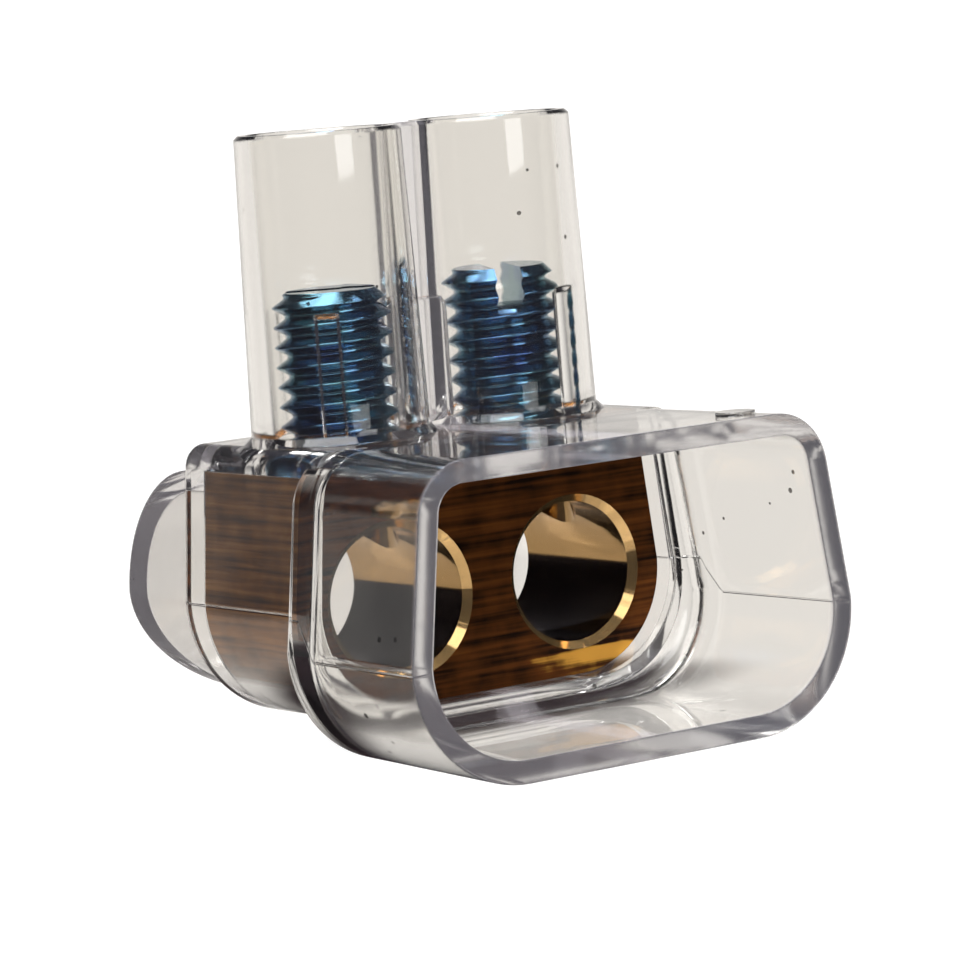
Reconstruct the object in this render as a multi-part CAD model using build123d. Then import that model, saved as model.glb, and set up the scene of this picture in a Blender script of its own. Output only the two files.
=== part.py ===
from build123d import *
from collections import namedtuple
from math import radians, sqrt, tan
import os

# Splice terminal block, in millimetres.
# A brass block with two wire bores sits in a clear moulded housing. Wires enter
# from the skirt at the front (-Y) and two slotted screws press down on them.
# The working frame has Y = 0 on the block's front face and Z = 0 on the bores' axes.

# Brass block
bore_diameter = 7.2
bore_spacing = 10.4
bore_chamfer = 0.38
block_wall = 1.65          # brass beside and below each bore
block_roof = 3.0           # brass above the bores, where the screws are threaded
block_length = 9.6
block_lean = 5.5           # degrees, the sides spread downwards

# Clamp screws, M6 with a coarse thread
screw_diameter = 6.0
screw_length = 11.8        # a 12 mm screw, at the short end of its tolerance
screw_chamfer = 0.55
slot_width = 1.25
slot_depth = 2.1
thread_clearance = 0.05    # round the screw, in the block's tapped hole
tapped_hole_chamfer = 0.3
left_tip_lift = 0.05       # tip above the crown of its bore, as delivered
right_tip_lift = 0.25
left_slot_turn = -34.0     # degrees from X
right_slot_turn = 66.0

# Sleeve of the housing, round the block
seat_gap = 0.05            # between the block and the plastic, all round
wall = 1.1
deck_thickness = 1.35
sleeve_corner = 1.2
block_recess = 1.5         # the block's face behind the ledge of the skirt

# Skirt at the front, open towards the wires
skirt_depth = 10.7         # from the ledge to the rim
skirt_wall = 1.15
skirt_roof = 1.1
ledge_thickness = 1.2
skirt_step_side = 1.2      # how far the skirt's root stands out of the sleeve
skirt_step_down = 1.25
skirt_flare_side = 0.45    # what the rim adds to the root
skirt_flare_down = 0.2
skirt_waist_drop = 1.65    # the widest level, below the bores' axes
skirt_lean = 7.8           # degrees
skirt_top_corner = 3.0
skirt_inner_corner = 1.5
skirt_root_fillet = 1.1
skirt_step_round = 0.4

# Closed barrel at the rear, where the wire ends come out of the bores
barrel_radius = 6.1
barrel_axis_height = 0.5
barrel_axis_setback = 1.1  # behind the sleeve's rear face
barrel_inset = 0.9         # the barrel's end walls, inside the sleeve's sides

# Screw tubes
tube_height = 15.5
tube_base_diameter = 9.1
tube_top_diameter = 8.45
tube_bore_base = 6.65
tube_bore_top = 6.95
tube_rim_chamfer = 0.2
tube_mouth_chamfer = 0.15
tube_foot_chamfer = 0.4
rib_count = 3
rib_width = 0.8            # at the tip, next to the screw
rib_flank = 40.0           # degrees, how its sides spread towards the wall
rib_turn = -7.0            # degrees, the first rib off the line between the tubes
rib_height = 6.5           # above the deck
rib_lead_in = 0.3
guide_gap = 0.1            # between the ribs and the screw
web_thickness = 1.2
web_foot_thickness = 1.8
web_foot_height = 6.5

# Gate mark left by the moulding, on the deck
gate_mark_diameter = 2.0
gate_mark_height = 0.2
gate_mark_from_side = 3.6  # its centre, from where the deck and the side would meet
gate_mark_from_rim = 2.0

# Levels and stations that follow from the sizes
bore_radius = bore_diameter / 2
block_corner = bore_radius + block_wall
block_top = bore_radius + block_roof
cavity_top = block_top + seat_gap
deck_top = cavity_top + deck_thickness
cavity_rear = block_length + seat_gap
sleeve_rear = cavity_rear + wall
ledge_y = -block_recess
step_y = ledge_y + ledge_thickness
rim_y = ledge_y - skirt_depth
barrel_axis_y = sleeve_rear + barrel_axis_setback
screw_y = block_length / 2
tube_top = deck_top + tube_height
over = 1.0                 # how far a cutter runs past the face that it opens

# A D-shaped section: flat top, sides that spread down to the widest level,
# large round corners below it and a flat bottom
Section = namedtuple("Section", "half_width waist corner top lean top_corner")

block_section = Section(bore_spacing / 2 + block_corner, 0, block_corner, block_top, block_lean, 0)
cavity_section = Section(
    block_section.half_width + seat_gap, 0, block_corner + seat_gap, cavity_top, block_lean, 0
)
sleeve_section = Section(
    cavity_section.half_width + wall, 0, cavity_section.corner + wall, deck_top, block_lean, sleeve_corner
)
root_section = Section(
    sleeve_section.half_width + skirt_step_side,
    -skirt_waist_drop,
    sleeve_section.corner + skirt_step_down - skirt_waist_drop,
    deck_top,
    skirt_lean,
    skirt_top_corner,
)
skirt_bottom = skirt_waist_drop + root_section.corner + skirt_flare_down


def flared(y):
    """The skirt's outer section at a station between its root and its rim."""
    share = (step_y - y) / (step_y - rim_y)
    return root_section._replace(
        half_width=root_section.half_width + share * skirt_flare_side,
        corner=root_section.corner + share * skirt_flare_down,
    )


def hollowed(section):
    """The skirt's inner section, one wall inside the outer one."""
    return section._replace(
        half_width=section.half_width - skirt_wall,
        corner=section.corner - skirt_wall,
        top=section.top - skirt_roof,
        top_corner=skirt_inner_corner,
    )


def section_face(section, y):
    """A face of the section, square to the wires at station y."""
    half_top = section.half_width - (section.top - section.waist) * tan(radians(section.lean))
    flat = section.half_width - section.corner
    bottom = section.waist - section.corner
    half_corner = section.corner * sqrt(0.5)
    with BuildSketch(Plane.XZ.offset(-y)) as sketch:
        with BuildLine():
            Polyline(
                (-section.half_width, section.waist),
                (-half_top, section.top),
                (half_top, section.top),
                (section.half_width, section.waist),
            )
            ThreePointArc(
                (section.half_width, section.waist),
                (flat + half_corner, section.waist - half_corner),
                (flat, bottom),
            )
            Line((flat, bottom), (-flat, bottom))
            ThreePointArc(
                (-flat, bottom),
                (-flat - half_corner, section.waist - half_corner),
                (-section.half_width, section.waist),
            )
        make_face()
        if section.top_corner:
            fillet(sketch.vertices().group_by(Axis.Y)[-1], section.top_corner)
    return sketch.sketch


def prism(section, y_from, y_to):
    return extrude(section_face(section, y_from), amount=y_to - y_from, dir=(0, 1, 0))


def screw_places():
    return [(side * bore_spacing / 2, side) for side in (-1, 1)]


def terminal_block():
    body = prism(block_section, 0, block_length)
    for x, _ in screw_places():
        bore = Pos(x, screw_y, 0) * Rot(X=90) * Cylinder(bore_radius, block_length + 2 * over)
        tapped = Pos(x, screw_y, block_top / 2 + over / 2) * Cylinder(
            screw_diameter / 2 + thread_clearance, block_top + over
        )
        body -= [bore, tapped]
    ends = body.edges().filter_by(GeomType.CIRCLE).filter_by(
        lambda edge: abs(edge.radius - bore_radius) < 1e-6 and edge.is_closed
    )
    body = chamfer(ends, bore_chamfer)
    mouths = body.edges().filter_by(GeomType.CIRCLE).group_by(Axis.Z)[-1]
    return chamfer(mouths, tapped_hole_chamfer)


def clamp_screw(x, tip_lift, slot_turn):
    radius = screw_diameter / 2
    shank = Cylinder(radius, screw_length, align=(Align.CENTER, Align.CENTER, Align.MIN))
    shank = chamfer(shank.edges().filter_by(GeomType.CIRCLE), screw_chamfer)
    slot = Pos(0, 0, screw_length - slot_depth) * Rot(Z=slot_turn) * Box(
        screw_diameter + over,
        slot_width,
        slot_depth + over,
        align=(Align.CENTER, Align.CENTER, Align.MIN),
    )
    return Pos(x, screw_y, bore_radius + tip_lift) * (shank - slot)


def skirt_shell():
    return loft([section_face(flared(step_y), step_y), section_face(flared(rim_y), rim_y)], ruled=True)


def skirt_hollow():
    mouth = loft(
        [
            section_face(hollowed(flared(ledge_y)), ledge_y),
            section_face(hollowed(flared(rim_y - over)), rim_y - over),
        ],
        ruled=True,
    )
    return fillet(mouth.edges().group_by(Axis.Y)[-1], skirt_root_fillet)


def barrel(inset, radius, y_from):
    """A half cylinder across the wires, with its flat ends inside the sleeve's sides."""
    section = sleeve_section._replace(
        half_width=sleeve_section.half_width - inset,
        corner=radius - barrel_axis_height,
        top=radius + barrel_axis_height,
        top_corner=0,
    )
    log = prism(section, y_from, barrel_axis_y + radius + over)
    width = 2 * sleeve_section.half_width
    drum = Pos(0, barrel_axis_y, barrel_axis_height) * Rot(Y=90) * Cylinder(radius, width)
    front = Pos(0, barrel_axis_y, barrel_axis_height) * Box(
        width, barrel_axis_y - y_from, 2 * radius, align=(Align.CENTER, Align.MAX, Align.CENTER)
    )
    return log & (drum + front)


def screw_tube(x):
    base = Pos(x, screw_y, cavity_top) * Cylinder(
        tube_base_diameter / 2, deck_thickness, align=(Align.CENTER, Align.CENTER, Align.MIN)
    )
    tube = Pos(x, screw_y, deck_top) * Cone(
        tube_base_diameter / 2,
        tube_top_diameter / 2,
        tube_height,
        align=(Align.CENTER, Align.CENTER, Align.MIN),
    )
    return base + tube


def tube_bore(x):
    depth = tube_top - cavity_top + seat_gap
    bore = Pos(x, screw_y, cavity_top - seat_gap) * Cone(
        tube_bore_base / 2, tube_bore_top / 2, depth, align=(Align.CENTER, Align.CENTER, Align.MIN)
    )
    mouth = Pos(x, screw_y, tube_top - tube_mouth_chamfer) * Cone(
        tube_bore_top / 2,
        tube_bore_top / 2 + tube_mouth_chamfer + over,
        tube_mouth_chamfer + over,
        align=(Align.CENTER, Align.CENTER, Align.MIN),
    )
    return bore + mouth


def guide_ribs(x, side):
    """Ribs that centre the screw; one of them points at the other tube."""
    tip = screw_diameter / 2 + guide_gap
    root = (tube_bore_base + tube_base_diameter) / 4
    half_tip = rib_width / 2
    half_root = half_tip + (root - tip) * tan(radians(rib_flank))
    with BuildSketch() as sketch:
        with BuildLine():
            Polyline((tip, -half_tip), (root, -half_root), (root, half_root), (tip, half_tip), close=True)
        make_face()
    rib = extrude(sketch.sketch, deck_thickness + rib_height)
    lead = rib.edges().group_by(Axis.Z)[-1].filter_by(Axis.Y).sort_by(Axis.X)[0]
    rib = chamfer(lead, rib_lead_in)
    first = rib_turn if side < 0 else 180 + rib_turn
    return [
        Pos(x, screw_y, cavity_top) * Rot(Z=first + turn * 360 / rib_count) * rib
        for turn in range(rib_count)
    ]


def tube_web():
    """The wall that joins the two tubes, thicker over its lower part."""
    stand = (Align.CENTER, Align.CENTER, Align.MIN)
    upper = Box(bore_spacing, web_thickness, tube_height, align=stand)
    foot = Box(bore_spacing, web_foot_thickness, web_foot_height, align=stand)
    return Pos(0, screw_y, deck_top) * (upper + foot)


def gate_mark():
    half_deck = flared(rim_y).half_width - (deck_top + skirt_waist_drop) * tan(radians(skirt_lean))
    place = Pos(
        half_deck - gate_mark_from_side,
        rim_y + gate_mark_from_rim,
        deck_top,
    )
    return place * Cylinder(
        gate_mark_diameter / 2, gate_mark_height, align=(Align.CENTER, Align.CENTER, Align.MIN)
    )


def tube_feet(shell):
    """The edges where the tubes stand on the deck."""
    return shell.edges().filter_by(GeomType.CIRCLE).filter_by(
        lambda edge: abs(edge.radius - tube_base_diameter / 2) < 1e-6
        and abs(edge.arc_center.Z - deck_top) < 1e-6
    )


def insulating_housing():
    shell = skirt_shell()
    step = shell.edges().group_by(Axis.Y)[-1].filter_by(lambda edge: edge.center().Z < deck_top - seat_gap)
    shell = fillet(step, skirt_step_round)
    shell += prism(sleeve_section, ledge_y, sleeve_rear)
    shell += barrel(barrel_inset, barrel_radius, cavity_rear)
    for x, _ in screw_places():
        shell += screw_tube(x)
    shell = chamfer(tube_feet(shell), tube_foot_chamfer)
    shell += tube_web()
    shell = chamfer(shell.edges().group_by(Axis.Z)[-1], tube_rim_chamfer)
    shell += gate_mark()
    shell -= skirt_hollow()
    shell -= prism(cavity_section, ledge_y - over, cavity_rear)
    shell -= barrel(barrel_inset + wall, barrel_radius - wall, cavity_rear - seat_gap)
    for x, side in screw_places():
        shell -= tube_bore(x)
        shell += guide_ribs(x, side)
    return shell


pieces = {
    "insulating_housing": insulating_housing(),
    "terminal_block": terminal_block(),
    "clamp_screw_left": clamp_screw(-bore_spacing / 2, left_tip_lift, left_slot_turn),
    "clamp_screw_right": clamp_screw(bore_spacing / 2, right_tip_lift, right_slot_turn),
}

# The part's own frame: origin under the middle of its outline, on the surface it stands on
middle_y = (rim_y + barrel_axis_y + barrel_radius) / 2
place = Pos(0, -middle_y, skirt_bottom)

os.makedirs("parts", exist_ok=True)
for name, piece in pieces.items():
    export_step(place * piece, f"parts/{name}.step")
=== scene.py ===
import bpy
import numpy as np
from math import pi, radians, tan
from mathutils import Matrix, Vector


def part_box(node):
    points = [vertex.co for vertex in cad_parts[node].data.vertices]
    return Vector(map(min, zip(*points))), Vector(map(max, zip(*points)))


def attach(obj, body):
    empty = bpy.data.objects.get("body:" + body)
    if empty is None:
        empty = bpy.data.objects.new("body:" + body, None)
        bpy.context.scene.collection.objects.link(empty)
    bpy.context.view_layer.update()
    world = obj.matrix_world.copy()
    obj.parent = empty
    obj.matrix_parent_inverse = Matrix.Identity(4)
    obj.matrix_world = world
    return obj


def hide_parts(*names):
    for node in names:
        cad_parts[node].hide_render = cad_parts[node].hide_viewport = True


# Splice terminal block: a clear housing on a brass block with two blue zinc screws.
# Facts are in millimetres and degrees, Blender's own lengths in metres.
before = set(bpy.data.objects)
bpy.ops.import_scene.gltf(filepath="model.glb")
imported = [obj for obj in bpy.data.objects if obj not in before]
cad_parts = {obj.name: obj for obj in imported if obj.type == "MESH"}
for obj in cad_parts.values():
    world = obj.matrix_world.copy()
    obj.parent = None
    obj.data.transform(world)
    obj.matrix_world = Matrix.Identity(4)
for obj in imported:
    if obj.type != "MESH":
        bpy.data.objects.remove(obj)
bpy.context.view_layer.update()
scene = bpy.context.scene
scene.view_settings.view_transform = "Standard"
mm = 0.001

# the camera, solved from the straight edges and the bores' ellipses
cameraFacts = {
    "place": (-129.22, -191.08, 36.83),
    "azimuth": 34.423,  # left of the open skirt
    "elevation": 5.904,
    "roll": -4.446,
    "lens": 170.95,
    "sensor": 36.0,
    "reach": (10.0, 20000.0),  # nearest and farthest that it sees
}


def makeCamera(facts):
    camera = bpy.data.objects.new("camera", bpy.data.cameras.new("camera"))
    camera.data.lens = facts["lens"]
    camera.data.sensor_width = facts["sensor"]
    camera.data.clip_start, camera.data.clip_end = (reach * mm for reach in facts["reach"])
    turn = (
        Matrix.Rotation(radians(-facts["azimuth"]), 4, "Z")
        @ Matrix.Rotation(radians(90.0 - facts["elevation"]), 4, "X")
        @ Matrix.Rotation(radians(facts["roll"]), 4, "Z")
    )
    camera.matrix_world = Matrix.Translation(Vector(facts["place"]) * mm) @ turn
    scene.collection.objects.link(camera)
    scene.camera = camera


makeCamera(cameraFacts)
print("camera placed")


def linear(hexColour):
    # sRGB hex to linear RGBA
    parts = [int(hexColour[i:i + 2], 16) / 255 for i in (1, 3, 5)]
    return tuple(
        c / 12.92 if c <= 0.04045 else ((c + 0.055) / 1.055) ** 2.4 for c in parts) + (1.0,)


def newMaterial(name):
    material = bpy.data.materials.new(name)
    material.use_nodes = True
    material.node_tree.nodes.clear()
    return material, material.node_tree


def addNode(tree, kind, settings=None, inputs=None):
    # inputs: socket name or number -> a value, or an output socket to link from
    node = tree.nodes.new(kind)
    for key, value in (settings or {}).items():
        setattr(node, key, value)
    for key, value in (inputs or {}).items():
        if isinstance(value, bpy.types.NodeSocket):
            tree.links.new(value, node.inputs[key])
        else:
            node.inputs[key].default_value = value
    return node


plasticFacts = {
    "tint": "#FFFEFB",
    "ior": 1.585,
    "roughness": 0.02,
    "haze": 0.008,  # share of light that the surface scatters
    "hazeTint": "#DCD8E2",
    "lampTint": "#E8E6E2",  # what a wall lets through of a lamp's light
    "waveLength": 5.0,
    "waveDepth": 0.012,
    "edgeRound": 0.16,
    "speckTint": "#3A3836",
    "speckSpacing": 2.5,
    "speckRadius": 0.17,
    "rimEdge": (-15.0, -14.75),  # along the wires, where the skirt's rim fades out
    "rimHaze": 0.26,
    "rimRoughness": 0.16,
    "webEdge": (0.77, 1.1),  # the web between the tubes, where the plastic met last
    "webHaze": 0.16,
    "barrelEdge": (8.2, 9.2),  # along the wires, where the closed barrel begins
    "barrelHaze": 0.08,
    "seamHeight": 7.85,  # where the mould's halves met, at the widest level of the sleeve
    "skirtSeamHeight": 6.0,
    "seamDrop": (-5.9, -4.4),  # along the wires, where it drops to the skirt's level
    "seamOutside": 11.1,  # from the middle, only the outer faces have the seam
    "skirtSeamOutside": 12.35,
    "seamWidth": 0.08,
    "seamDepth": 0.03,
}


def mouldedPolycarbonate(facts):
    # clear polycarbonate from a polished mould: glossy, bends light strongly, with slight waves,
    # a thin seam, a few dark specks, a trace of grey haze and a duller rim where the mould opened
    material, tree = newMaterial("mouldedPolycarbonate")
    place = addNode(tree, "ShaderNodeTexCoord").outputs["Object"]
    axes = addNode(tree, "ShaderNodeSeparateXYZ", inputs={0: place}).outputs
    fromMiddle = addNode(tree, "ShaderNodeMath", {"operation": "ABSOLUTE"}, {0: axes["X"]})

    # the seam: a raised line at one level on the sleeve and at a lower one on the skirt
    seamLow, seamHigh = facts["seamDrop"]
    inSkirt = addNode(tree, "ShaderNodeMapRange", inputs={
        "Value": axes["Y"], "From Min": seamLow * mm, "From Max": seamHigh * mm,
        "To Min": 1.0, "To Max": 0.0})
    seamLevel = addNode(tree, "ShaderNodeMapRange", inputs={
        "Value": inSkirt.outputs[0], "To Min": facts["seamHeight"] * mm,
        "To Max": facts["skirtSeamHeight"] * mm})
    outside = addNode(tree, "ShaderNodeMapRange", inputs={
        "Value": inSkirt.outputs[0], "To Min": facts["seamOutside"] * mm,
        "To Max": facts["skirtSeamOutside"] * mm})
    isOutside = addNode(tree, "ShaderNodeMath", {"operation": "GREATER_THAN"}, {
        0: fromMiddle.outputs[0], 1: outside.outputs[0]})
    offSeam = addNode(tree, "ShaderNodeMath", {"operation": "SUBTRACT"}, {
        0: axes["Z"], 1: seamLevel.outputs[0]})
    distance = addNode(tree, "ShaderNodeMath", {"operation": "ABSOLUTE"}, {0: offSeam.outputs[0]})
    line = addNode(tree, "ShaderNodeMapRange", {"interpolation_type": "SMOOTHSTEP"}, {
        "Value": distance.outputs[0], "From Max": facts["seamWidth"] * mm,
        "To Min": 1.0, "To Max": 0.0})
    seam = addNode(tree, "ShaderNodeMath", {"operation": "MULTIPLY"}, {
        0: line.outputs[0], 1: isOutside.outputs[0]})

    # edges rounded by the polishing, then long waves, then the seam
    rounded = addNode(tree, "ShaderNodeBevel", {"samples": 4}, {
        "Radius": facts["edgeRound"] * mm})
    wave = addNode(tree, "ShaderNodeTexNoise", inputs={
        "Vector": place, "Scale": 1 / (facts["waveLength"] * mm), "Detail": 1.0})
    waved = addNode(tree, "ShaderNodeBump", inputs={
        "Height": wave.outputs["Fac"], "Strength": 1.0, "Distance": facts["waveDepth"] * mm,
        "Normal": rounded.outputs[0]})
    bump = addNode(tree, "ShaderNodeBump", inputs={
        "Height": seam.outputs[0], "Strength": 1.0, "Distance": facts["seamDepth"] * mm,
        "Normal": waved.outputs[0]})

    # one speck in each cell, of any size up to the radius
    cells = addNode(tree, "ShaderNodeTexVoronoi", inputs={
        "Vector": place, "Scale": 1 / (facts["speckSpacing"] * mm)})
    chosen = addNode(tree, "ShaderNodeSeparateColor", inputs={0: cells.outputs["Color"]})
    size = addNode(tree, "ShaderNodeMath", {"operation": "MULTIPLY"}, {
        0: chosen.outputs[0], 1: facts["speckRadius"] / facts["speckSpacing"]})
    speck = addNode(tree, "ShaderNodeMath", {"operation": "LESS_THAN"}, {
        0: cells.outputs["Distance"], 1: size.outputs[0]})
    colour = addNode(tree, "ShaderNodeMix", {"data_type": "RGBA"}, {
        "Factor": speck.outputs[0], 6: linear(facts["tint"]), 7: linear(facts["speckTint"])})

    # haze: a trace all over, more in the web and the barrel, most on the rim
    rimLow, rimHigh = facts["rimEdge"]
    rim = addNode(tree, "ShaderNodeMapRange", {"interpolation_type": "SMOOTHSTEP"}, {
        "Value": axes["Y"], "From Min": rimLow * mm, "From Max": rimHigh * mm,
        "To Min": 1.0, "To Max": 0.0})
    roughness = addNode(tree, "ShaderNodeMapRange", inputs={
        "Value": rim.outputs[0], "To Min": facts["roughness"], "To Max": facts["rimRoughness"]})
    webLow, webHigh = facts["webEdge"]
    inWeb = addNode(tree, "ShaderNodeMapRange", {"interpolation_type": "SMOOTHSTEP"}, {
        "Value": fromMiddle.outputs[0], "From Min": webLow * mm, "From Max": webHigh * mm,
        "To Min": facts["webHaze"], "To Max": facts["haze"]})
    barrelLow, barrelHigh = facts["barrelEdge"]
    inBarrel = addNode(tree, "ShaderNodeMapRange", {"interpolation_type": "SMOOTHSTEP"}, {
        "Value": axes["Y"], "From Min": barrelLow * mm, "From Max": barrelHigh * mm,
        "To Max": facts["barrelHaze"]})
    body = addNode(tree, "ShaderNodeMath", {"operation": "MAXIMUM"}, {
        0: inWeb.outputs[0], 1: inBarrel.outputs[0]})
    hazeShare = addNode(tree, "ShaderNodeMapRange", inputs={
        "Value": rim.outputs[0], "To Min": body.outputs[0], "To Max": facts["rimHaze"]})

    glass = addNode(tree, "ShaderNodeBsdfPrincipled", inputs={
        "Base Color": colour.outputs[2], "Roughness": roughness.outputs[0], "IOR": facts["ior"],
        "Transmission Weight": 1.0, "Normal": bump.outputs["Normal"]})
    haze = addNode(tree, "ShaderNodeBsdfDiffuse", inputs={"Color": linear(facts["hazeTint"])})
    clouded = addNode(tree, "ShaderNodeMixShader", inputs={
        0: hazeShare.outputs[0], 1: glass.outputs[0], 2: haze.outputs[0]})
    passed = addNode(tree, "ShaderNodeBsdfTransparent", inputs={
        "Color": linear(facts["lampTint"])})
    path = addNode(tree, "ShaderNodeLightPath")
    mix = addNode(tree, "ShaderNodeMixShader", inputs={
        0: path.outputs["Is Shadow Ray"], 1: clouded.outputs[0], 2: passed.outputs[0]})
    addNode(tree, "ShaderNodeOutputMaterial", inputs={"Surface": mix.outputs[0]})
    return material


brassFacts = {
    "light": "#B07C44",
    "middle": "#86592A",
    "dark": "#523418",
    "shadeSpread": (0.34, 0.66),  # how much wear shows as dark and how much as light
    "endLight": "#74421A",
    "endDark": "#1C0D05",
    "endSpread": (0.36, 0.66),
    "bore": "#AC8A58",
    "boreShadedHalf": "#20130B",  # painted shade: the bores' lower halves made dark, standing in for the dark that they mirror there
    "boreShadeEdge": (-0.15, 0.1),  # where the bores' painted shade begins, around their axes
    "fresh": "#D8B27A",  # on the chamfers that a drill cut
    "metallic": 0.9,
    "roughness": 0.36,
    "boreRoughness": 0.09,
    "streakWidth": 0.3,
    "streakLength": 10.0,
    "streakDepth": 0.015,
    "streakStrength": (0.1, 0.01),  # on the drawn faces and in the bores
    "blotch": 1.6,
    "blotchShare": 0.35,
    "endFacing": (0.85, 0.95),  # how straight along the wires a sawn end faces
    "slopeFacing": (0.3, 0.6),  # and a chamfer
    "boreReach": 9.05,  # from the middle, the bores lie inside this
    "boreHeight": 7.85,
    "boreHalf": 3.75,
    "gold": "#C8923C",  # the patch under the right bore
    "goldPlace": (6.4, 3.5),  # across and up
    "goldSize": (2.9, 0.6),  # half its width and height
    "goldEdge": (0.6, 1.25),
    "goldRagged": 4.0,
}


def drawnBrass(facts):
    # brass bar drawn lengthwise and sawn off, browned with age: fine lines along it and across its
    # ends, smooth drilled bores like dull mirrors, and paler metal on the chamfers
    material, tree = newMaterial("drawnBrass")
    place = addNode(tree, "ShaderNodeTexCoord").outputs["Object"]
    axes = addNode(tree, "ShaderNodeSeparateXYZ", inputs={0: place}).outputs

    # the sawn ends, the chamfers and the bores, by the way a face points and by its place
    facing = addNode(tree, "ShaderNodeNewGeometry").outputs["Normal"]
    ends = addNode(tree, "ShaderNodeSeparateXYZ", inputs={0: facing}).outputs
    endShare = addNode(tree, "ShaderNodeMath", {"operation": "ABSOLUTE"}, {0: ends["Y"]})
    isEnd, isSlope = [addNode(tree, "ShaderNodeMapRange", inputs={
        "Value": endShare.outputs[0], "From Min": low, "From Max": high})
        for low, high in (facts["endFacing"], facts["slopeFacing"])]
    chamfer = addNode(tree, "ShaderNodeMath", {"operation": "SUBTRACT", "use_clamp": True}, {
        0: isSlope.outputs[0], 1: isEnd.outputs[0]})
    fromMiddle = addNode(tree, "ShaderNodeMath", {"operation": "ABSOLUTE"}, {0: axes["X"]})
    inReach = addNode(tree, "ShaderNodeMath", {"operation": "LESS_THAN"}, {
        0: fromMiddle.outputs[0], 1: facts["boreReach"] * mm})
    inHeight = addNode(tree, "ShaderNodeMath", {"operation": "COMPARE"}, {
        0: axes["Z"], 1: facts["boreHeight"] * mm, 2: facts["boreHalf"] * mm})
    inside = addNode(tree, "ShaderNodeMath", {"operation": "MULTIPLY"}, {
        0: inReach.outputs[0], 1: inHeight.outputs[0]})
    bore = addNode(tree, "ShaderNodeMath", {"operation": "SUBTRACT", "use_clamp": True}, {
        0: inside.outputs[0], 1: isSlope.outputs[0]})

    # wear: streaks along the bar and blotches
    fine, long = 1 / (facts["streakWidth"] * mm), 1 / (facts["streakLength"] * mm)
    stretched = addNode(tree, "ShaderNodeMapping", inputs={
        "Vector": place, "Scale": (long, long, fine)})
    streak = addNode(tree, "ShaderNodeTexNoise", inputs={
        "Vector": stretched.outputs[0], "Scale": 1.0, "Detail": 2.0})
    blotch = addNode(tree, "ShaderNodeTexNoise", inputs={
        "Vector": place, "Scale": 1 / (facts["blotch"] * mm), "Detail": 4.0})
    worn = addNode(tree, "ShaderNodeMix", {"data_type": "FLOAT"}, {
        0: facts["blotchShare"], 2: streak.outputs["Fac"], 3: blotch.outputs["Fac"]})
    sides = addNode(tree, "ShaderNodeValToRGB", inputs={0: worn.outputs[0]})
    darkest, lightest = sides.color_ramp.elements
    darkest.position, lightest.position = facts["shadeSpread"]
    darkest.color, lightest.color = linear(facts["dark"]), linear(facts["light"])
    sides.color_ramp.elements.new(0.5).color = linear(facts["middle"])
    endLow, endHigh = facts["endSpread"]
    sawn = addNode(tree, "ShaderNodeMapRange", inputs={
        "Value": worn.outputs[0], "From Min": endLow, "From Max": endHigh})
    endShade = addNode(tree, "ShaderNodeMix", {"data_type": "RGBA"}, {
        "Factor": sawn.outputs[0], 6: linear(facts["endDark"]), 7: linear(facts["endLight"])})

    # a brighter golden patch with a ragged edge under the right bore: an ellipse on the end, its
    # edge broken up by the wear pattern
    (goldAcross, goldUp), (goldWide, goldHigh) = facts["goldPlace"], facts["goldSize"]
    patchPlace = addNode(tree, "ShaderNodeMapping", inputs={
        "Vector": place, "Scale": (1 / (goldWide * mm), 0.0, 1 / (goldHigh * mm)),
        "Location": (-goldAcross / goldWide, 0.0, -goldUp / goldHigh)})
    fromPatch = addNode(tree, "ShaderNodeVectorMath", {"operation": "LENGTH"}, {
        0: patchPlace.outputs[0]})
    ragged = addNode(tree, "ShaderNodeMath", {"operation": "MULTIPLY_ADD"}, {
        0: worn.outputs[0], 1: -facts["goldRagged"], 2: facts["goldRagged"] / 2})
    patchEdge = addNode(tree, "ShaderNodeMath", {"operation": "ADD"}, {
        0: fromPatch.outputs["Value"], 1: ragged.outputs[0]})
    goldFull, goldGone = facts["goldEdge"]
    gold = addNode(tree, "ShaderNodeMapRange", {"interpolation_type": "SMOOTHSTEP"}, {
        "Value": patchEdge.outputs[0], "From Min": goldFull, "From Max": goldGone,
        "To Min": 1.0, "To Max": 0.0})
    endColour = addNode(tree, "ShaderNodeMix", {"data_type": "RGBA"}, {
        "Factor": gold.outputs[0], 6: endShade.outputs[2], 7: linear(facts["gold"])})
    body = addNode(tree, "ShaderNodeMix", {"data_type": "RGBA"}, {
        "Factor": isEnd.outputs[0], 6: sides.outputs[0], 7: endColour.outputs[2]})
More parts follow.
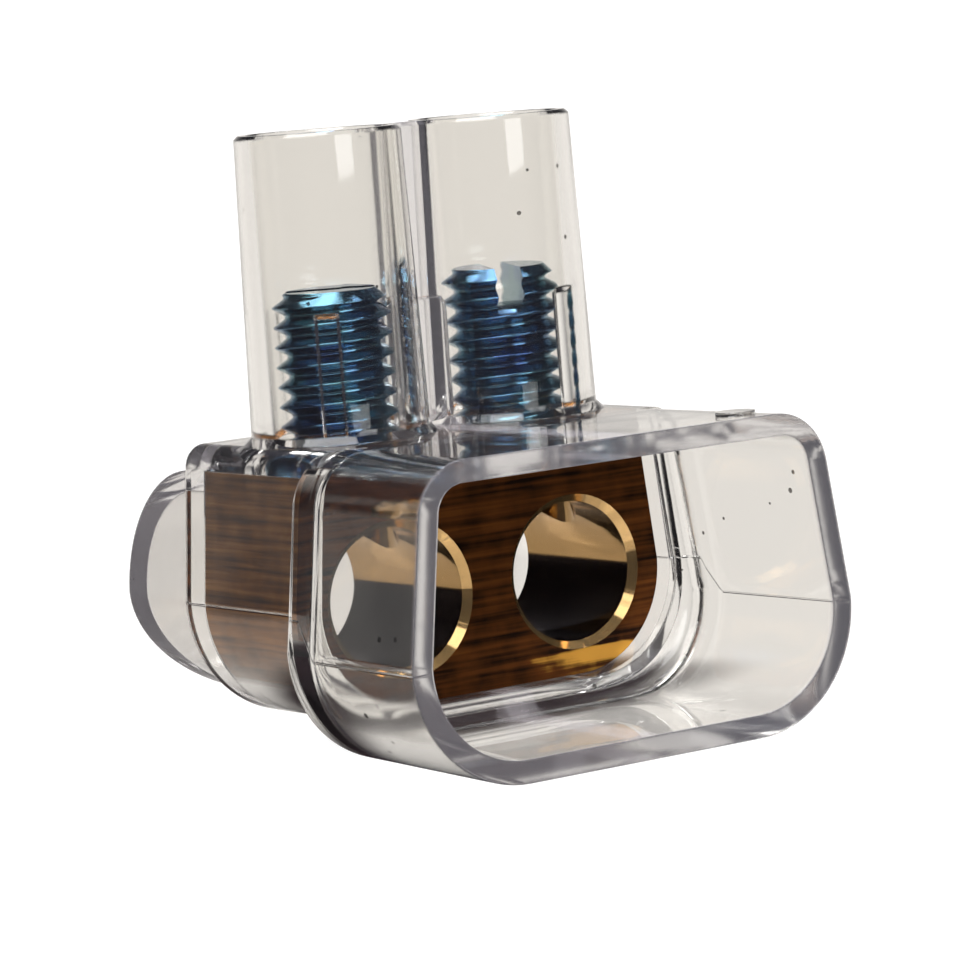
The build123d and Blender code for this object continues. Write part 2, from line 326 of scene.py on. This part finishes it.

    # the bores: bright above, with painted shade below their axes standing in for the dark they
    # mirror there
    shadedBelow, litAbove = (facts["boreHeight"] + edge for edge in facts["boreShadeEdge"])
    upper = addNode(tree, "ShaderNodeMapRange", {"interpolation_type": "SMOOTHSTEP"}, {
        "Value": axes["Z"], "From Min": shadedBelow * mm, "From Max": litAbove * mm})
    boreColour = addNode(tree, "ShaderNodeMix", {"data_type": "RGBA"}, {
        "Factor": upper.outputs[0], 6: linear(facts["boreShadedHalf"]), 7: linear(facts["bore"])})
    drilled = addNode(tree, "ShaderNodeMix", {"data_type": "RGBA"}, {
        "Factor": bore.outputs[0], 6: body.outputs[2], 7: boreColour.outputs[2]})
    colour = addNode(tree, "ShaderNodeMix", {"data_type": "RGBA"}, {
        "Factor": chamfer.outputs[0], 6: drilled.outputs[2], 7: linear(facts["fresh"])})
    smooth = addNode(tree, "ShaderNodeMath", {"operation": "MAXIMUM"}, {
        0: bore.outputs[0], 1: chamfer.outputs[0]})
    rough = addNode(tree, "ShaderNodeMapRange", inputs={
        "Value": smooth.outputs[0], "To Min": facts["roughness"],
        "To Max": facts["boreRoughness"]})
    drawnStrength, boreStrength = facts["streakStrength"]
    depth = addNode(tree, "ShaderNodeMapRange", inputs={
        "Value": smooth.outputs[0], "To Min": drawnStrength, "To Max": boreStrength})
    bump = addNode(tree, "ShaderNodeBump", inputs={
        "Height": streak.outputs["Fac"], "Strength": depth.outputs[0],
        "Distance": facts["streakDepth"] * mm})
    metal = addNode(tree, "ShaderNodeBsdfPrincipled", inputs={
        "Base Color": colour.outputs[2], "Metallic": facts["metallic"],
        "Roughness": rough.outputs[0], "Normal": bump.outputs["Normal"]})
    addNode(tree, "ShaderNodeOutputMaterial", inputs={"Surface": metal.outputs[0]})
    return material


screwFacts = {
    "diameter": 6.0,
    "pitch": 1.0,
    "flankAngle": 30.0,  # of a thread's flank from square to the axis
    "threadDepth": 0.6134,
    "crestRound": 0.0625,
    "rootRound": 0.08,
    "chamfer": 0.65,
    "columns": 128,  # round the screw
    "rowsPerPitch": 36,
    "sharpAngle": 44.0,  # edges that turn more than this stay sharp
    "slotWidth": 1.25,
    "slotDepth": 2.1,
    "blue": "#597E9C",
    "teal": "#5E8793",
    "violet": "#3C527B",
    "tintPlaces": (0.35, 0.48, 0.65),  # where violet, blue and teal are full
    "tintPatch": 2.6,
    "roughness": 0.16,
}


def bluePassivatedZinc(facts):
    # steel plated with bright zinc and passivated: a mirror-like blue, drifting to teal and violet
    material, tree = newMaterial("bluePassivatedZinc")
    place = addNode(tree, "ShaderNodeTexCoord").outputs["Object"]
    patch = addNode(tree, "ShaderNodeTexNoise", inputs={
        "Vector": place, "Scale": 1 / (facts["tintPatch"] * mm), "Detail": 2.0})
    tints = addNode(tree, "ShaderNodeValToRGB", inputs={0: patch.outputs["Fac"]})
    violetPlace, bluePlace, tealPlace = facts["tintPlaces"]
    first, last = tints.color_ramp.elements
    first.position, first.color = violetPlace, linear(facts["violet"])
    last.position, last.color = tealPlace, linear(facts["teal"])
    tints.color_ramp.elements.new(bluePlace).color = linear(facts["blue"])
    metal = addNode(tree, "ShaderNodeBsdfPrincipled", inputs={
        "Base Color": tints.outputs[0], "Metallic": 1.0, "Roughness": facts["roughness"]})
    addNode(tree, "ShaderNodeOutputMaterial", inputs={"Surface": metal.outputs[0]})
    return material


polycarbonate = mouldedPolycarbonate(plasticFacts)
brass = drawnBrass(brassFacts)
zinc = bluePassivatedZinc(screwFacts)

for node, material in (("insulating_housing", polycarbonate), ("terminal_block", brass)):
    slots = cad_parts[node].data.materials
    slots.clear()
    slots.append(material)
print("materials made")


# how each screw's slot points, and how far its thread has turned
screwPlaces = {
    "left": {"slotTurn": -34.0, "phase": 0.35},
    "right": {"slotTurn": 66.0, "phase": 0.1},
}


def closedMesh(name, points, bottom, top):
    # a closed mesh from rings of points, rows by columns, with a fan to one point at each end
    rows, columns = points.shape[:2]
    index = np.arange(rows * columns).reshape(rows, columns)
    beside = np.roll(index, -1, axis=1)
    quads = np.stack([index[:-1], beside[:-1], beside[1:], index[1:]], axis=-1).reshape(-1, 4)
    low, high = rows * columns, rows * columns + 1
    lowFan = np.stack([np.full(columns, low), beside[0], index[0]], axis=-1)
    highFan = np.stack([np.full(columns, high), index[-1], beside[-1]], axis=-1)
    mesh = bpy.data.meshes.new(name)
    vertices = np.concatenate([points.reshape(-1, 3), [bottom, top]])
    mesh.from_pydata(vertices.tolist(), [], quads.tolist() + lowFan.tolist() + highFan.tolist())
    mesh.validate()
    return mesh


def threadMesh(name, facts, axis, tip, top, phase):
    # radius as a function of turn and height: a ridge of 60 degrees winds up one pitch for each
    # turn, its crest and root rounded as hyperbolas, and both ends lie inside a 45 degree cone
    outer = facts["diameter"] / 2
    rows = int((top - tip) / facts["pitch"] * facts["rowsPerPitch"]) + 1
    turn = np.linspace(0.0, 2 * pi, facts["columns"], endpoint=False)[None, :]
    height = np.linspace(tip, top, rows)[:, None]
    wound = np.mod(height / facts["pitch"] - turn / (2 * pi) + phase, 1.0)
    offCrest = (wound - 0.5) * facts["pitch"]
    crest = facts["crestRound"]
    drop = (np.sqrt(offCrest ** 2 + crest ** 2) - crest) / tan(radians(facts["flankAngle"]))
    overRoot = facts["threadDepth"] - drop
    overRoot = (overRoot + np.sqrt(overRoot ** 2 + facts["rootRound"] ** 2)) / 2
    radius = np.minimum(outer - facts["threadDepth"] + overRoot, outer)
    cone = outer - facts["chamfer"]
    radius = np.minimum(radius, cone + np.minimum(top - height, height - tip))
    x = axis[0] + radius * np.cos(turn)
    y = axis[1] + radius * np.sin(turn)
    points = np.stack([x, y, height + 0 * radius], axis=-1) * mm
    return closedMesh(name, points, np.array([*axis, tip]) * mm, np.array([*axis, top]) * mm)


def cutSlot(piece, facts, axis, top, turn):
    # a flat box, longer than the screw is wide, cut out of its top
    reach, side, above = facts["diameter"], facts["slotWidth"] / 2, 1.0
    corners = [(x, y, z) for x in (-reach, reach) for y in (-side, side)
               for z in (-facts["slotDepth"], above)]
    faces = [(0, 1, 3, 2), (4, 6, 7, 5), (0, 4, 5, 1), (2, 3, 7, 6), (0, 2, 6, 4), (1, 5, 7, 3)]
    box = bpy.data.meshes.new("slotCutter")
    box.from_pydata(corners, [], faces)
    turned = Matrix.Translation((*axis, top)) @ Matrix.Rotation(radians(turn), 4, "Z")
    box.transform(Matrix.Scale(mm, 4) @ turned)
    cutter = bpy.data.objects.new("slotCutter", box)
    scene.collection.objects.link(cutter)
    cut = piece.modifiers.new("slot", "BOOLEAN")
    cut.operation = "DIFFERENCE"
    cut.solver = "EXACT"
    cut.object = cutter
    bpy.context.view_layer.update()
    shaped = piece.evaluated_get(bpy.context.evaluated_depsgraph_get())
    shapedMesh = bpy.data.meshes.new_from_object(shaped)
    piece.modifiers.clear()
    piece.data = shapedMesh
    bpy.data.objects.remove(cutter)


for side, place in screwPlaces.items():
    low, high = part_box("clamp_screw_" + side)
    axis = ((low.x + high.x) / 2 / mm, (low.y + high.y) / 2 / mm)
    tip, top = low.z / mm, high.z / mm
    mesh = threadMesh(side + "ScrewThread", screwFacts, axis, tip, top, place["phase"])
    screw = bpy.data.objects.new(side + "ClampScrew", mesh)
    scene.collection.objects.link(screw)
    cutSlot(screw, screwFacts, axis, top, place["slotTurn"])
    screw.data.materials.clear()
    screw.data.materials.append(zinc)
    screw.data.shade_smooth()
    screw.data.set_sharp_from_angle(angle=radians(screwFacts["sharpAngle"]))
    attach(screw, side + "_screw")
    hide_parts("clamp_screw_" + side)
print("screws threaded")


# a sheet of pale paper under and behind the object, in a dark room with soft lamps
studio = {
    "paper": "#F1EDE8",
    "floor": "#ECEBE8",  # where the camera sees it, near the object
    "floorHalf": 4000.0,
    "nearPaper": (35.0, 60.0),  # the paper is pale all round this near to the object
    "room": "#2C2D35",
    "underShade": "#2A2022",  # the paper where the brass block shades it
    "shadePlace": (0.0, 2.5),
    "shadeSize": (14.0, 6.5),
    "shadeEdge": (0.85, 1.5),  # in the shade's own size
    "white": 1.2,  # strength of the background that the camera sees
    "behind": (0.565, 0.825, 0.0),  # unit direction from the camera's side past the object
    "mirroredArc": (0.35, 0.75),  # cosines between which the paper fades in
    "seenArc": (0.32, 0.52),
    "paperEdge": 0.08,  # how high the paper stands at its sides
    "paperRise": 0.4,  # and how much higher straight behind
    "shadowEdge": (24.0, 60.0),  # from the middle, where the floor's shadows fade out
    "shadowWhite": 0.8,  # share of plain white in the floor nearer than that
}

# azimuth is to the right of the open skirt, lengths are in metres, and glow is how bright the
# box itself looks
lamps = {
    "overheadBox": {
        "azimuth": -80.0, "elevation": 78.0, "distance": 0.5, "size": (0.36, 0.3), "glow": 5.5},
    "backBox": {
        "azimuth": 130.0, "elevation": 60.0, "distance": 0.5, "size": (0.18, 0.12), "glow": 13.0},
    "frontBox": {
        "azimuth": 2.0, "elevation": 19.0, "distance": 0.6, "size": (0.26, 0.38), "glow": 4.5},
    "leftBox": {
        "azimuth": -60.0, "elevation": 42.0, "distance": 0.6, "size": (0.45, 0.3), "glow": 2.5},
}
lampAim = (0.0, 0.0, 0.015)  # the object's middle


def paperShare(tree, path, direction):
    # how much paper there is in a direction: what the plastic lets through comes from a wide arc
    # behind the object, and what smooth faces mirror comes from a narrower one
    dot = addNode(tree, "ShaderNodeVectorMath", {"operation": "DOT_PRODUCT"}, {
        0: direction, 1: studio["behind"]})
    mirrored, seen = [addNode(tree, "ShaderNodeMapRange", {"interpolation_type": "SMOOTHSTEP"}, {
        "Value": dot.outputs["Value"], "From Min": low, "From Max": high}).outputs[0]
        for low, high in (studio["mirroredArc"], studio["seenArc"])]
    share = addNode(tree, "ShaderNodeMix", {"data_type": "FLOAT"}, {
        0: path["Is Transmission Ray"], 2: mirrored, 3: seen})
    return share.outputs[0], mirrored


def paleFloor():
    # matt paper: the camera sees it white with soft shadows, and what mirrors it or sees it
    # through plastic gets the lit arc behind, the pale round near the object and the brass's shade
    material, tree = newMaterial("palePaper")
    path = addNode(tree, "ShaderNodeLightPath").outputs
    place = addNode(tree, "ShaderNodeTexCoord").outputs["Object"]
    direction = addNode(tree, "ShaderNodeVectorMath", {"operation": "NORMALIZE"}, {0: place})
    away = addNode(tree, "ShaderNodeVectorMath", {"operation": "LENGTH"}, {0: place})
    nearLow, nearHigh = studio["nearPaper"]
    near = addNode(tree, "ShaderNodeMapRange", {"interpolation_type": "SMOOTHSTEP"}, {
        "Value": away.outputs["Value"], "From Min": nearLow * mm, "From Max": nearHigh * mm,
        "To Min": 1.0, "To Max": 0.0})
    nearSeen = addNode(tree, "ShaderNodeMath", {"operation": "MULTIPLY"}, {
        0: near.outputs[0], 1: path["Is Transmission Ray"]})
    share = addNode(tree, "ShaderNodeMath", {"operation": "MAXIMUM"}, {
        0: nearSeen.outputs[0], 1: paperShare(tree, path, direction.outputs[0])[0]})
    paper = addNode(tree, "ShaderNodeMix", {"data_type": "RGBA"}, {
        "Factor": share.outputs[0], 6: linear(studio["room"]), 7: linear(studio["paper"])})

    (shadeX, shadeY), (shadeWide, shadeDeep) = studio["shadePlace"], studio["shadeSize"]
    fromBlock = addNode(tree, "ShaderNodeMapping", inputs={
        "Vector": place, "Scale": (1 / (shadeWide * mm), 1 / (shadeDeep * mm), 0.0),
        "Location": (-shadeX / shadeWide, -shadeY / shadeDeep, 0.0)})
    blockAway = addNode(tree, "ShaderNodeVectorMath", {"operation": "LENGTH"}, {
        0: fromBlock.outputs[0]})
    shadeLow, shadeHigh = studio["shadeEdge"]
    lit = addNode(tree, "ShaderNodeMapRange", {"interpolation_type": "SMOOTHSTEP"}, {
        "Value": blockAway.outputs["Value"], "From Min": shadeLow, "From Max": shadeHigh})
    shade = addNode(tree, "ShaderNodeMix", {"data_type": "RGBA"}, {
        "Factor": lit.outputs[0], 6: linear(studio["underShade"]), 7: paper.outputs[2]})
    pale = addNode(tree, "ShaderNodeEmission", inputs={"Color": shade.outputs[2]})

    plain = addNode(tree, "ShaderNodeBsdfDiffuse", inputs={"Color": linear(studio["floor"])})
    white = addNode(tree, "ShaderNodeEmission", inputs={"Strength": studio["white"]})
    shadowLow, shadowHigh = studio["shadowEdge"]
    whiteShare = addNode(tree, "ShaderNodeMapRange", {"interpolation_type": "SMOOTHSTEP"}, {
        "Value": away.outputs["Value"], "From Min": shadowLow * mm, "From Max": shadowHigh * mm,
        "To Min": studio["shadowWhite"], "To Max": 1.0})
    seen = addNode(tree, "ShaderNodeMixShader", inputs={
        0: whiteShare.outputs[0], 1: plain.outputs[0], 2: white.outputs[0]})
    mix = addNode(tree, "ShaderNodeMixShader", inputs={
        0: path["Is Camera Ray"], 1: pale.outputs[0], 2: seen.outputs[0]})
    addNode(tree, "ShaderNodeOutputMaterial", inputs={"Surface": mix.outputs[0]})
    return material


def makeFloor():
    mesh = bpy.data.meshes.new("floor")
    half = studio["floorHalf"] * mm
    corners = [(-half, -half, 0), (half, -half, 0), (half, half, 0), (-half, half, 0)]
    mesh.from_pydata(corners, [], [(0, 1, 2, 3)])
    mesh.materials.append(paleFloor())
    floor = bpy.data.objects.new("floor", mesh)
    scene.collection.objects.link(floor)


def makeWorld():
    # the paper's arc stands up behind, highest straight behind, and the rest is the dark room
    world = bpy.data.worlds.new("studio")
    scene.world = world
    world.use_nodes = True
    tree = world.node_tree
    tree.nodes.clear()
    path = addNode(tree, "ShaderNodeLightPath").outputs
    direction = addNode(tree, "ShaderNodeTexCoord").outputs["Generated"]
    height = addNode(tree, "ShaderNodeSeparateXYZ", inputs={0: direction}).outputs["Z"]
    around, behind = paperShare(tree, path, direction)
    edge = addNode(tree, "ShaderNodeMath", {"operation": "MULTIPLY_ADD"}, {
        0: behind, 1: studio["paperRise"], 2: studio["paperEdge"]})
    below = addNode(tree, "ShaderNodeMapRange", {"interpolation_type": "SMOOTHSTEP"}, {
        "Value": height, "From Min": 0.0, "From Max": edge.outputs[0],
        "To Min": 1.0, "To Max": 0.0})
    share = addNode(tree, "ShaderNodeMath", {"operation": "MULTIPLY"}, {
        0: below.outputs[0], 1: around})
    walls = addNode(tree, "ShaderNodeMix", {"data_type": "RGBA"}, {
        "Factor": share.outputs[0], 6: linear(studio["room"]), 7: linear(studio["paper"])})
    colour = addNode(tree, "ShaderNodeMix", {"data_type": "RGBA"}, {
        "Factor": path["Is Camera Ray"], 6: walls.outputs[2], 7: (*[studio["white"]] * 3, 1.0)})
    background = addNode(tree, "ShaderNodeBackground", inputs={"Color": colour.outputs[2]})
    addNode(tree, "ShaderNodeOutputWorld", inputs={"Surface": background.outputs[0]})


def softbox(name, azimuth, elevation, distance, size, glow):
    light = bpy.data.lights.new(name, "AREA")
    light.shape = "RECTANGLE"
    light.size, light.size_y = size
    light.energy = glow * pi * size[0] * size[1]
    lamp = bpy.data.objects.new(name, light)
    turn = (
        Matrix.Rotation(radians(azimuth), 4, "Z")
        @ Matrix.Rotation(radians(-elevation), 4, "X")
    )
    place = turn @ Vector((0.0, -distance, 0.0)) + Vector(lampAim)
    lamp.matrix_world = Matrix.Translation(place) @ turn @ Matrix.Rotation(radians(90.0), 4, "X")
    lamp.visible_camera = False
    scene.collection.objects.link(lamp)


makeFloor()
makeWorld()
for name, facts in lamps.items():
    softbox(name, **facts)
print("studio lit")
